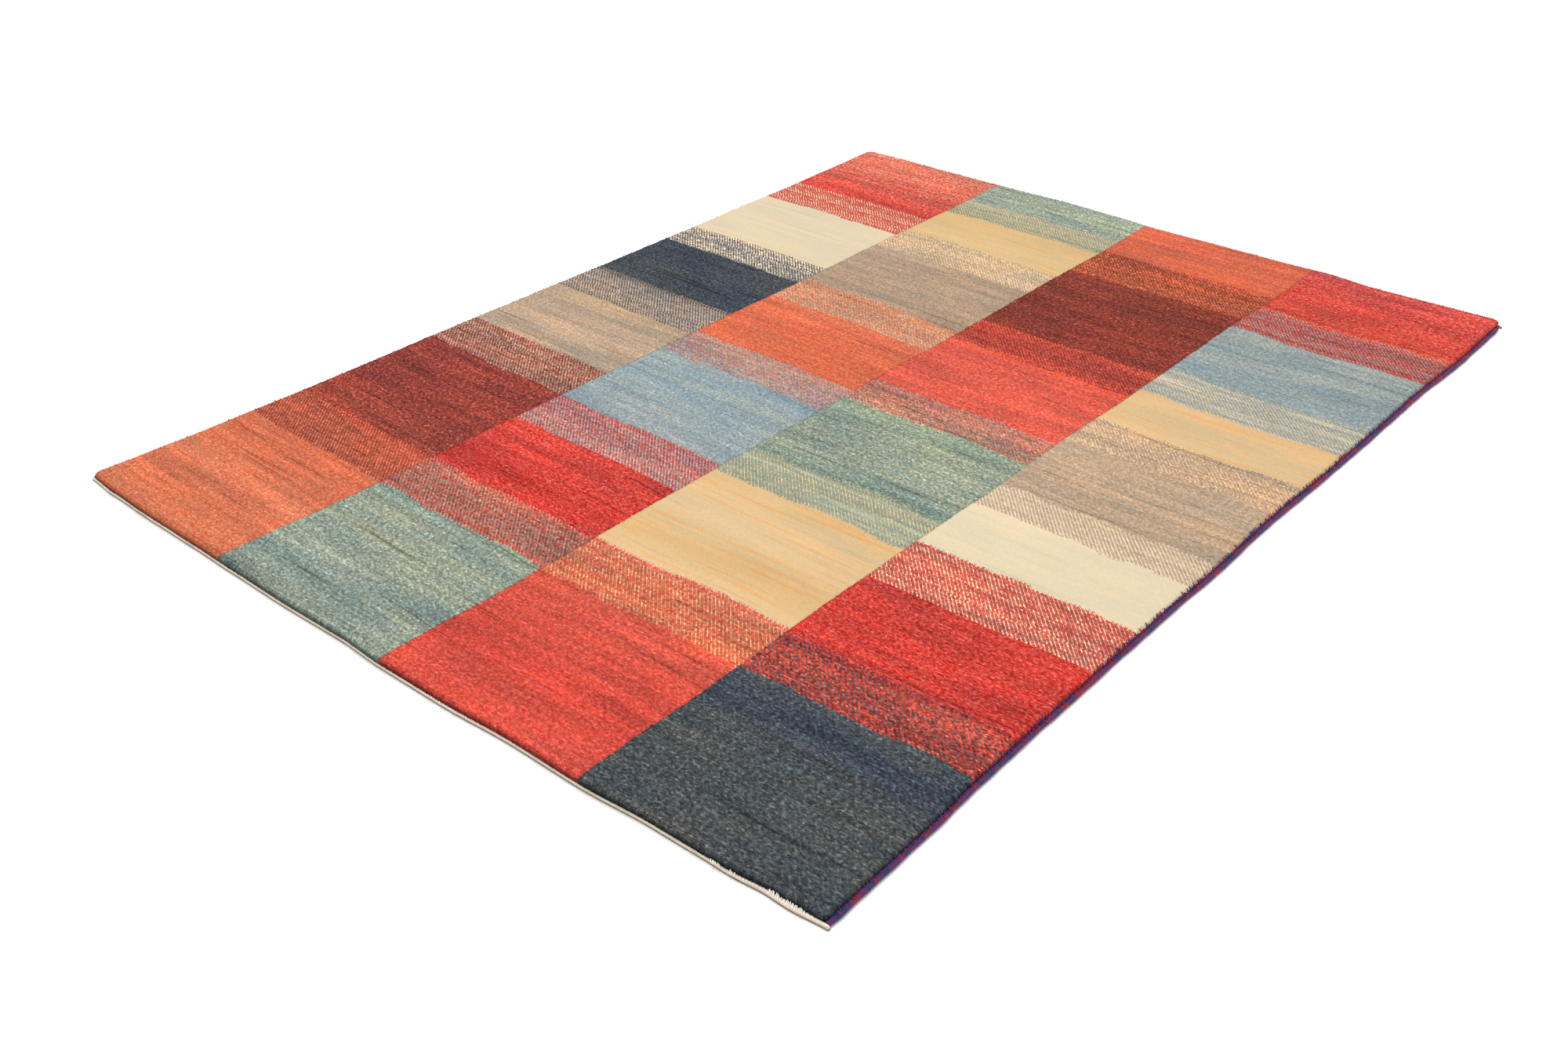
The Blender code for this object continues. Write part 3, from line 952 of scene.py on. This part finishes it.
def build_back(dyes):
    """Knotted back below the pile, with room for both turned-under webs."""
    step_y = HALF_LENGTH - HEM_DEPTH - GAP
    wall = 0.05 * MM
    lanes = Lanes(10 * MM, 3, (-step_y - wall, -step_y + wall, step_y - wall, step_y + wall))
    cord = CORD_DIAMETER / 2
    top = CORD_LIFT + cord + (cord + GAP) * math.sin(math.radians(PAST_CORD[0][0]))
    rows = (
        (-GAP, 0.0, top - 0.1 * MM, CORNER_RADIUS),
        (-GAP, 0.0, 3.0 * MM, CORNER_RADIUS),
        (-GAP, 0.0, 0.0, CORNER_RADIUS),
        (-1.2 * MM, -1.2 * MM, 0.0, CORNER_RADIUS),
    )
    points, polygons = slab(lanes, rows, True)
    in_hem = (np.abs(points[:, 1]) > step_y) & (points[:, 2] < HEM_THICKNESS)
    points[in_hem, 2] = HEM_THICKNESS + GAP
    pattern = corner_pattern(knots_at(points), polygons)
    recipe = back_recipe(dyes)
    return make_piece(
        "knotted_back", wander(points), polygons, pattern, recipe, ["field"])


def blunt_rod(path, radius, sides):
    """The points of a rod round each path, one ring after another.

    path is (..., step, xyz) and radius (step). Rings stand square to the path, in a frame
    made of its direction and a line close to world up.
    """
    ahead = np.gradient(path, axis=-2)
    ahead /= np.linalg.norm(ahead, axis=-1, keepdims=True)
    up = np.broadcast_to(np.array([0.11, 0.07, 0.99]), ahead.shape)
    side = np.cross(ahead, up)
    side /= np.linalg.norm(side, axis=-1, keepdims=True)
    lift = np.cross(side, ahead)
    angle = (np.arange(sides) * 2 * math.pi / sides)[:, None]
    ring = side[..., None, :] * np.cos(angle) + lift[..., None, :] * np.sin(angle)
    points = path[..., None, :] + ring * radius[:, None, None]
    return points.reshape(*path.shape[:-2], -1, 3)


def rod_polygons(steps, sides, copies):
    """Polygons of copies of a rod, whose rings hold so many sides, with capped ends."""
    size = steps * sides
    base = np.arange(copies)[:, None, None] * size
    quads = (grid_quads(steps, sides, closed=True)[None, :, ::-1] + base).reshape(-1, 4)
    near = (np.arange(sides)[None, None, :] + base).reshape(copies, sides)
    far = (np.arange(sides)[None, None, ::-1] + (steps - 1) * sides + base).reshape(copies, sides)
    return [quads, near, far]


def build_rods(name, paths, radius, sides, pattern, recipe):
    """Join rods along paths (rod, step, xyz) into one piece, each with one (u, v)."""
    paths = np.asarray(paths, dtype=float)
    copies, steps = paths.shape[:2]
    points = blunt_rod(wander(paths), np.asarray(radius), sides).reshape(-1, 3)
    polygons = rod_polygons(steps, sides, copies)
    spread = np.repeat(np.asarray(pattern, dtype=float), steps * sides, axis=0)
    return make_piece(name, points, polygons, corner_pattern(spread, polygons), recipe)


def rim_tufts(sizes, seed):
    """Paths and pattern places of the knots' cut ends that show at the rug's rim.

    Each tuft is a straight line that starts inside the rim and leaves it at an angle of
    its own, with a slant along the rim. There is one for each knot or row of the pattern
    in every row of tufts.
    """
    rng = np.random.default_rng(seed)
    paths = []
    places = []
    rims = ((0, -1, END_TUFTS), (0, 1, END_TUFTS), (-1, 0, SIDE_TUFTS), (1, 0, SIDE_TUFTS))
    for sign_x, sign_y, levels in rims:
        for height, out, degrees, longer in levels:
            count = (KNOTS if sign_y else ROWS) - BARE_KNOTS
            number = np.arange(count) + FIRST_TUFT
            number += rng.uniform(-0.25, 0.25, count)
            along = x_of_knot(number) if sign_y else y_of_row(number)
            tilt = np.radians(degrees + rng.normal(0.0, 12.0, count))
            reach = sizes.tuft_length * longer * rng.uniform(0.7, 1.3, count)
            slant = rng.normal(0.0, 0.25, count)
            inset = out * MM - TUFT_ROOT * MM
            z = height * MM + rng.normal(0.0, 0.25 * MM, count)
            travel = np.linspace(0.0, 1.0, 3)[None, :] * reach[:, None]
            outward = inset + travel * np.cos(tilt)[:, None]
            upward = z[:, None] + travel * np.sin(tilt)[:, None]
            shift = along[:, None] + travel * slant[:, None]
            if sign_y:
                path = (shift, sign_y * (HALF_LENGTH + outward), upward)
                rows = np.full(count, 1.0 if sign_y < 0 else ROWS - 1.0)
                places.append(np.stack((number, rows), axis=-1))
            else:
                path = (sign_x * (HALF_WIDTH + outward), shift, upward)
                knots = np.full(count, 1.0 if sign_x < 0 else KNOTS - 1.0)
                places.append(np.stack((knots, number), axis=-1))
            paths.append(np.stack(path, axis=-1))
    return np.concatenate(paths), np.concatenate(places)


def overcast_recipe(dyes):
    """Overcast wool yarn: turns of violet, blue and rose, each with the ply's fine twist and
    painted shade at its edges.
    """
    recipe = Recipe("overcast_yarn", Roughness=0.9, Specular_IOR_Level=0.15, Sheen_Weight=0.1)
    around, wraps = recipe.pattern()
    turn = (wraps - around * YARN_STARTS).floor()
    within = (wraps - around * YARN_STARTS).fraction()
    run = (turn / 2.0 + recipe.dice(turn, 4.0) * 0.6).floor()
    pick = recipe.dice(run, 2.0)
    stops = (
        (0.0, tuple(dyes.violet)), (0.42, tuple(dyes.deep_blue)), (0.58, tuple(dyes.rose)),
        (0.72, tuple(0.7 * c + 0.3 * d for c, d in zip(dyes.violet, dyes.rose))),
        (0.95, tuple(dyes.madder)),
    )
    colour = recipe.stops(pick, "CONSTANT", stops)
    fuzz = recipe.noise(recipe.vector(around * 30.0, wraps * 6.0), detail=2.0)
    # Painted shade towards the edges of each turn of the yarn, where the turns meet
    painted_groove_shade = (within - 0.5) * (within - 0.5) * -1.9 + 1.0
    colour = recipe.scaled(colour, painted_groove_shade * (0.7 + 0.6 * fuzz))
    recipe.finish(colour, recipe.bump(fuzz, 0.3 * MM))
    return recipe


def build_cord(name, sign, sizes, recipe):
    """The overcast cord of one long side: a tube whose yarn turns stand up as ridges.

    Radius = the solid's radius, less its slow waves, its thinner tips and the wrap depth
    times how far a point lies from the middle of its turn, squared. Turns climb
    YARN_STARTS pitches once round.
    """
    full = CORD_DIAMETER / 2
    tip = HALF_LENGTH - GAP * 2
    sides = 15
    steps_in_turn = 6
    count = round(2 * tip / sizes.wrap_pitch * steps_in_turn)
    y = np.linspace(-tip, tip, count + 1)
    angle = np.arange(sides + 1) * 2 * math.pi / sides
    waves = np.sin(y * 61.0 + sign) * np.sin(y * 23.0 + 2.0 * sign)
    radius = full - CORD_WAVE * MM * np.clip(waves, 0.0, 1.0)
    for (thinner, length), left in ((TIP_TAPER, tip - np.abs(y)), (FAR_TAPER, tip - y)):
        radius -= thinner * MM * (1.0 - np.clip(left / (length * MM), 0.0, 1.0))
    turns = (y[:, None] + tip) / sizes.wrap_pitch
    around = angle[None, :] / (2 * math.pi)
    climbed = turns - around * YARN_STARTS
    ridge = np.abs(np.cos(math.pi * (climbed + 0.5)))
    uneven = TURN_PROUD * MM * np.sin(np.floor(climbed) * 12.9)
    shape = radius[:, None] + TURN_PROUD * MM - sizes.wrap_depth * (1.0 - ridge) ** 2 + uneven
    x = sign * (HALF_WIDTH + radius[:, None] + shape * -np.cos(angle))
    z = CORD_LIFT + radius[:, None] + shape * np.sin(angle)
    z = np.maximum(z, 0.0)
    points = np.stack(np.broadcast_arrays(x, y[:, None], z), axis=-1)[:, :-1]
    quads = grid_quads(len(y), sides, closed=True)
    caps = [np.arange(sides)[None, :], np.arange(sides)[None, ::-1] + (len(y) - 1) * sides]
    polygons = [quads, *caps]
    pattern = np.stack(np.broadcast_arrays(around, turns), axis=-1)
    spread = [pattern.reshape(-1, 2)[grid_quads(len(y), sides + 1)]]
    spread += [pattern[cap // sides, cap % sides] for cap in caps]
    if sign < 0:
        polygons = [group[:, ::-1] for group in polygons]
        spread = [group[:, ::-1] for group in spread]
    places = np.concatenate([group.reshape(-1, 2) for group in spread])
    return make_piece(
        name, wander(points), polygons, places, recipe, [name])


def cotton_recipe(dyes):
    """Plain-woven cotton, with painted shade between threads, a painted light top and a painted
    shade lower half.
    """
    recipe = Recipe("cotton_web", Roughness=0.92, Specular_IOR_Level=0.15)
    across, height = recipe.pattern()
    thread = across.fraction() - 0.5
    weft = height.fraction() - 0.5
    relief = 1.0 - (thread * thread + weft * weft) * 2.0
    stain = recipe.noise(recipe.vector(across * 0.06, height * 0.3), detail=3.0)
    cotton_colour = recipe.mix(stain.ramp(0.48, 0.62), tuple(dyes.cotton), STAINED_COTTON)
    # Painted light: the cotton turns pale towards the web's top
    cotton_colour = recipe.mix(height.ramp(*PAINTED_LIGHT_ABOVE), cotton_colour, PALE_COTTON)
    # Painted shade: the web's lower part darkens towards the floor
    painted_under_shade = (height + stain * 1.6).ramp(*SHADE_BELOW)
    tint = recipe.mix(painted_under_shade, cotton_colour, SHADED_UNDER_COTTON)
    # Painted shade in the gaps between threads, from the same relief as the bump
    recipe.finish(recipe.scaled(tint, 0.7 + 0.4 * relief), recipe.bump(relief, 0.35 * MM))
    return recipe


def build_web(name, sign, bulge_table, top_table, sizes, recipe):
    """The cotton web of one short end, a section carried along it at fine steps.

    The section stands out below the pile, turns under and runs back below the cloth. Its
    outer face ripples with the threads, as a product of two sines.
    """
    inside = HALF_WIDTH + np.array(WEB_BEFORE_CORD) * MM
    outside = HALF_WIDTH + np.array(WEB_AT_CORD) * MM
    even_to = HALF_WIDTH + WEB_EVEN_TO * MM
    count = 2 * round(even_to / sizes.web_step)
    middle = np.linspace(-1.0, 1.0, count + 1) * even_to
    past = np.concatenate((inside, outside))
    x = np.concatenate((-past[::-1], middle, past))
    under = np.where(np.abs(x) > inside[-1] + MM / 10, GAP, HEM_DEPTH)
    drawn_in = np.where(np.abs(x) > outside[-2], 0.7, 1.0)
    out = WEB_STANDS_OUT * drawn_in + ease(bulge_table, x / WIDTH + 0.5) * MM
    top = WEB_HEIGHT * drawn_in * ease(top_table, x / WIDTH + 0.5)
    zero = np.zeros_like(x)
    face = zero + GAP
    edge = 0.3 * (out - face)
    hem = zero + HEM_THICKNESS
    rise = np.linspace(0.0, 1.0, WEB_FACE_ROWS)
    front = [(out, 0.0015 + (top - 0.0027) * share) for share in rise]
    section = (
        (-under, zero), (-0.5 * under, zero), (out - 0.0010, zero), (out - 0.0003, zero + 0.0005),
        *front, (out - edge / 2, top - 0.0004), (out - edge, top), (face + edge, top),
        (face, top - 0.0004), (face, hem + GAP), (face - GAP, hem), (-0.5 * under, hem),
        (-under, hem),
    )
    reach, height = np.stack(section, axis=-1)
    face_rows = slice(4, 4 + WEB_FACE_ROWS)
    over_under = (-1.0) ** np.arange(WEB_FACE_ROWS)
    ripple = np.sin(2 * math.pi * x[:, None] / sizes.warp_pitch) * over_under
    reach[:, face_rows] += WEB_RIPPLE * MM * ripple
    y = sign * (HALF_LENGTH + reach)
    points = np.stack(np.broadcast_arrays(x[:, None], y, height), axis=-1)
    columns = reach.shape[1]
    polygons = [grid_quads(len(x), columns, closed=True)]
    polygons.append(np.arange(columns)[None, ::-1])
    polygons.append(np.arange(columns)[None, :] + (len(x) - 1) * columns)
    if sign < 0:
        polygons = [group[:, ::-1] for group in polygons]
    pattern = np.stack((points[..., 0] / sizes.warp_pitch, points[..., 2] / MM), axis=-1)
    return make_piece(
        name, wander(points), polygons, corner_pattern(pattern, polygons), recipe,
        [name])


def near_stitch_paths():
    """Paths of the white stitches that climb from the near web over the pile's edge."""
    rng = np.random.default_rng(21)
    paths = []
    share = np.linspace(0.0, 1.0, 5)
    for first, last, count, length in NEAR_STITCHES:
        knots = np.linspace(first, last, count) + rng.uniform(-0.2, 0.2, count)
        x = x_of_knot(knots)
        bulge = ease(NEAR_WEB_BULGE, x / WIDTH + 0.5) * MM
        rise = (length * MM * rng.uniform(0.75, 1.15, count))[:, None]
        foot = (WEB_STANDS_OUT + bulge)[:, None]
        lean = rng.normal(0.0, STITCH_LEAN, count)[:, None] * share * rise
        top = (WEB_HEIGHT * ease(NEAR_WEB_TOP, x / WIDTH + 0.5))[:, None]
        z = top - STITCH_ROOT * MM + rise * share
        out = foot + (STITCH_OUT - foot) * np.clip(share * 1.8, 0.0, 1.0)
        paths.append(np.stack((x[:, None] + lean, -(HALF_LENGTH + out), z), axis=-1))
    return np.concatenate(paths)


def side_stitch_paths(sign, pitch, seed):
    """Paths of the yarn's turns that bite over the pile's long edge, from the cord up.

    Each runs along SIDE_ROUTE as far as a share of its own, some further than most, and
    leans a little.
    """
    rng = np.random.default_rng(seed)
    ends = HALF_LENGTH - 0.012
    y = np.arange(-ends, ends, pitch)
    y += rng.uniform(-0.2, 0.2, len(y)) * pitch
    y = y[rng.random(len(y)) < PLACES_BITTEN]
    whole = ease(SIDE_REACH, y / LENGTH + 0.5) * rng.uniform(0.85, 1.15, len(y))
    whole *= np.where(rng.random(len(y)) < LONG_BITES, 1.0, SHORT_BITE)
    reach = whole[:, None] * np.linspace(0.0, 1.0, len(BITE_RADII))
    route = np.array(SIDE_ROUTE) * MM
    place = np.linspace(0.0, 1.0, len(route))
    out = np.interp(reach, place, route[:, 0])
    z = np.interp(reach, place, route[:, 1])
    lean = rng.normal(0.1, 0.25, len(y))[:, None] * reach * 2.0 * MM
    return np.stack((sign * (HALF_WIDTH + out), y[:, None] + lean, z), axis=-1)


def loose_end_paths():
    """A loose end of red yarn that stands up out of the right cord, in a small curl."""
    turn = np.linspace(0.0, 1.0, len(LOOSE_END_RADII))
    x = HALF_WIDTH + 4.5 * MM + 1.6 * MM * np.sin(turn * 2.6)
    y = y_of_row(LOOSE_END_ROW) + 1.5 * MM * turn * np.cos(turn * 3.0)
    z = 6.0 * MM + 3.6 * MM * turn
    return np.stack((x, y, z), axis=-1)[None]


def fleck_paths():
    """A fleck of pale fibres that lies on the pile."""
    rng = np.random.default_rng(4)
    turn = np.linspace(-1.0, 1.0, len(FLECK_RADII))[None, :]
    heading = rng.uniform(0.0, math.pi, 5)[:, None]
    half = 1.3 * MM
    x = x_of_knot(FLECK_AT[0]) + half * turn * np.cos(heading)
    y = y_of_row(FLECK_AT[1]) + half * turn * np.sin(heading)
    z = PILE_TOP + 0.45 * MM * (1.2 - turn * turn)
    return np.stack(np.broadcast_arrays(x, y, z), axis=-1)


class RUG_OT_pile(bpy.types.Operator):
    """Make the cut pile, the tufts at its rim and the knotted back"""

    bl_idname = "rug.pile"
    bl_label = "Pile and back"

    def execute(self, context):
        scene = context.scene
        pile, recipe = build_pile(scene.rug_sizes, scene.rug_dyes)
        back = build_back(scene.rug_dyes)
        paths, places = rim_tufts(scene.rug_sizes, 7)
        radius = scene.rug_sizes.tuft_radius * np.array(TUFT_SHAPE)
        tufts = build_rods("rim_tufts", paths, radius, 5, places, recipe)
        return {"FINISHED"}


class RUG_OT_cords(bpy.types.Operator):
    """Make the overcast cords of the long sides and the stitches that hold them"""

    bl_idname = "rug.cords"
    bl_label = "Overcast cords"

    def execute(self, context):
        scene = context.scene
        recipe = overcast_recipe(scene.rug_dyes)
        for side, sign in (("left", -1), ("right", 1)):
            build_cord(f"selvedge_{side}", sign, scene.rug_sizes, recipe)
            paths = side_stitch_paths(sign, BITE_PITCH * scene.rug_sizes.wrap_pitch, 30 + sign)
            number = np.arange(len(paths))
            places = np.stack((np.zeros(len(paths)), number * BITE_PITCH), axis=-1)
            radius = np.array(BITE_RADII) * MM
            build_rods(f"side_stitches_{side}", paths, radius, 5, places, recipe)
        red = Recipe("red_yarn", Roughness=0.9, Specular_IOR_Level=0.1)
        red.finish(tuple(scene.rug_dyes.madder))
        radius = np.array(LOOSE_END_RADII) * MM
        build_rods("loose_end", loose_end_paths(), radius, 8, [(0.0, 0.0)], red)
        return {"FINISHED"}


class RUG_OT_webs(bpy.types.Operator):
    """Make the cotton webs of the short ends and the white stitches of the near one"""

    bl_idname = "rug.webs"
    bl_label = "Cotton webs"

    def execute(self, context):
        scene = context.scene
        recipe = cotton_recipe(scene.rug_dyes)
        build_web("web_near", -1, NEAR_WEB_BULGE, NEAR_WEB_TOP, scene.rug_sizes, recipe)
        build_web("web_far", 1, FAR_WEB_BULGE, FAR_WEB_TOP, scene.rug_sizes, recipe)
        paths = near_stitch_paths()
        places = np.full((len(paths), 2), UNSHADED_PLACE)
        radius = scene.rug_sizes.stitch_radius * np.array(STITCH_SHAPE)
        build_rods("near_stitches", paths, radius, 6, places, recipe)
        radius = np.array(FLECK_RADII) * MM
        paths = fleck_paths()
        places = np.full((len(paths), 2), UNSHADED_PLACE)
        build_rods("pale_fleck", paths, radius, 5, places, recipe)
        return {"FINISHED"}


class RUG_OT_stage(bpy.types.Operator):
    """Make the plain floor, the soft light and the camera"""

    bl_idname = "rug.stage"
    bl_label = "Floor, light and camera"

    def execute(self, context):
        studio = context.scene.rug_studio
        half = 14.0
        mesh = bpy.data.meshes.new("floor")
        corners = ((-half, -half, 0), (half, -half, 0), (half, half, 0), (-half, half, 0))
        mesh.from_pydata(corners, [], [(0, 1, 2, 3)])
        plain = Recipe("floor", Roughness=0.9, Specular_IOR_Level=0.0)
        plain.finish((0.93, 0.93, 0.93))
        mesh.materials.append(plain.material)
        floor = bpy.data.objects.new("floor", mesh)
        context.scene.collection.objects.link(floor)

        world = bpy.data.worlds.new("studio")
        world.use_nodes = True
        background = world.node_tree.nodes["Background"]
        background.inputs["Color"].default_value = (1.0, 1.0, 1.0, 1.0)
        background.inputs["Strength"].default_value = studio.sky
        context.scene.world = world

        light = bpy.data.lights.new("soft_box", "AREA")
        light.shape = "DISK"
        light.size = 3.6
        light.energy = studio.key
        soft_box = bpy.data.objects.new("soft_box", light)
        soft_box.location = (-0.6, 0.3, 3.4)
        soft_box.rotation_euler = (math.radians(-4), math.radians(-10), 0.0)
        context.scene.collection.objects.link(soft_box)

        eye = bpy.data.cameras.new("camera")
        eye.lens = studio.lens
        eye.sensor_width = 36.0
        camera = bpy.data.objects.new("camera", eye)
        camera.location = studio.place
        turn = (
            Matrix.Rotation(studio.heading, 3, "Z")
            @ Matrix.Rotation(math.pi / 2 - studio.tilt, 3, "X")
            @ Matrix.Rotation(studio.roll, 3, "Z")
        )
        camera.rotation_mode = "QUATERNION"
        camera.rotation_quaternion = turn.to_quaternion()
        context.scene.collection.objects.link(camera)
        context.scene.camera = camera
        context.scene.view_settings.view_transform = "Standard"
        return {"FINISHED"}


class RUG_PT_sidebar(bpy.types.Panel):
    """List the rug's settings and the steps that make it"""

    bl_label = "Lori rug"
    bl_idname = "RUG_PT_sidebar"
    bl_space_type = "VIEW_3D"
    bl_region_type = "UI"
    bl_category = "Rug"

    def draw(self, context):
        for group in (context.scene.rug_sizes, context.scene.rug_dyes, context.scene.rug_studio):
            box = self.layout.box()
            for name in group.__annotations__:
                box.prop(group, name)
        for operator in OPERATORS:
            self.layout.operator(operator.bl_idname)


OPERATORS = (RUG_OT_pile, RUG_OT_cords, RUG_OT_webs, RUG_OT_stage)
GROUPS = {"rug_sizes": RugSizes, "rug_dyes": RugDyes, "rug_studio": RugStudio}


def register():
    for kind in (*GROUPS.values(), *OPERATORS, RUG_PT_sidebar):
        bpy.utils.register_class(kind)
    for name, group in GROUPS.items():
        setattr(bpy.types.Scene, name, bpy.props.PointerProperty(type=group))


def unregister():
    for name in GROUPS:
        delattr(bpy.types.Scene, name)
    for kind in (RUG_PT_sidebar, *reversed(OPERATORS), *reversed(GROUPS.values())):
        bpy.utils.unregister_class(kind)


def main():
    register()
    bpy.ops.rug.pile()
    bpy.ops.rug.cords()
    bpy.ops.rug.webs()
    bpy.ops.rug.stage()
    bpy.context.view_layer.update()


if __name__ == "__main__":
    main()
